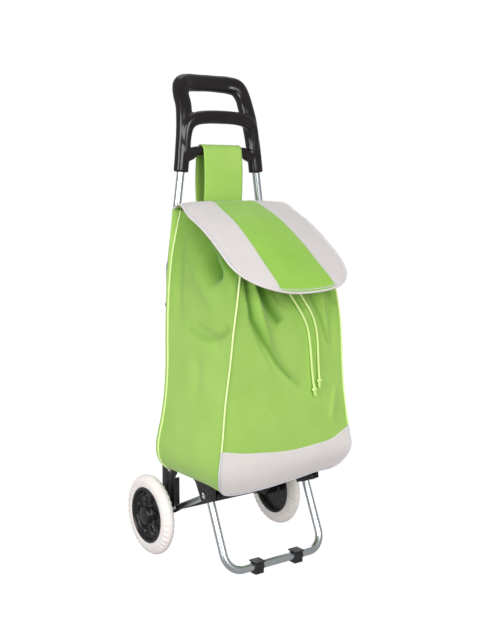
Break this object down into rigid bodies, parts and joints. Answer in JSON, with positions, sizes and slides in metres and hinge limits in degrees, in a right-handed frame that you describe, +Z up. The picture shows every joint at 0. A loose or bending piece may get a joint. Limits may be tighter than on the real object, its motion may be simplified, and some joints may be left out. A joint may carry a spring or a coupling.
{
  "type": "shopping trolley",
  "caption": "Upright two-wheeled shopping trolley: steel tube frame, moulded loop handle, fabric bag with a lid, and a folding stand leg.",
  "frame": {"origin": "on the floor, in the middle of the object's width and depth", "axes": "+Z up, +Y towards the wheels and the person who pulls it, -Y towards the bag's front, X along the axle"},
  "size_m": [0.352, 0.382, 0.9478],
  "materials": {
    "bright_steel": "bright plated steel",
    "black_steel": "black painted pressed steel",
    "dark_plastic": "smooth dark moulded plastic",
    "black_plastic": "black moulded plastic",
    "foam_tyre": "off-white moulded foam",
    "green_fabric": "light green woven polyester",
    "board": "dark stiff board",
    "cord": "pale green braided cord"
  },
  "bodies": {
    "frame": {"handle": "dark_plastic", "handle_screw_left": "black_steel", "handle_screw_right": "black_steel", "upright_left": "bright_steel", "upright_right": "bright_steel", "rear_crossbar": "black_steel", "crossbar_rivet_left": "bright_steel", "crossbar_rivet_right": "bright_steel", "rear_bracket_left": "black_steel", "rear_bracket_right": "black_steel", "rear_rivet_lower_left": "bright_steel", "rear_rivet_lower_right": "bright_steel", "rear_rivet_upper_left": "bright_steel", "rear_rivet_upper_right": "bright_steel", "axle": "bright_steel", "axle_washer_left": "bright_steel", "axle_washer_right": "bright_steel", "axle_spacer_left": "black_steel", "axle_spacer_right": "black_steel", "axle_clip_left": "bright_steel", "axle_clip_right": "bright_steel", "hub_cap_left": "dark_plastic", "hub_cap_right": "dark_plastic", "link_tube_left": "bright_steel", "link_tube_right": "bright_steel", "link_rivet_left": "bright_steel", "link_rivet_right": "bright_steel", "front_bracket_left": "black_steel", "front_bracket_right": "black_steel", "leg_pivot_left": "bright_steel", "leg_pivot_right": "bright_steel", "leg_stop_left": "bright_steel", "leg_stop_right": "bright_steel", "bag": "green_fabric", "base_board": "board", "strap": "green_fabric", "frame_loop_left": "green_fabric", "frame_loop_right": "green_fabric", "eyelet_left": "bright_steel", "eyelet_right": "bright_steel", "drawcord_left": "cord", "drawcord_right": "cord", "cord_knot_left": "cord", "cord_knot_right": "cord"},
    "wheel_left": {"wheel_rim_left": "dark_plastic", "tyre_left": "foam_tyre"},
    "wheel_right": {"wheel_rim_right": "dark_plastic", "tyre_right": "foam_tyre"},
    "flap": {"flap": "green_fabric"},
    "stand": {"stand_leg": "bright_steel", "foot_clip_left": "black_plastic", "foot_clip_right": "black_plastic"}
  },
  "joints": [
    {"name": "wheel_left_spin", "type": "hinge", "parent": "frame", "child": "wheel_left", "pos_m": [-0.157, 0.111, 0.08], "axis": [1, 0, 0], "continuous": true},
    {"name": "wheel_right_spin", "type": "hinge", "parent": "frame", "child": "wheel_right", "pos_m": [0.157, 0.111, 0.08], "axis": [1, 0, 0], "continuous": true},
    {"name": "flap_open", "type": "hinge", "parent": "frame", "child": "flap", "pos_m": [0, 0.0725, 0.7005], "axis": [-1, 0, 0], "range_deg": [0, 95]},
    {"name": "leg_fold", "type": "hinge", "parent": "frame", "child": "stand", "pos_m": [0, -0.031, 0.163], "axis": [1, 0, 0], "range_deg": [0, 70]}
  ]
}
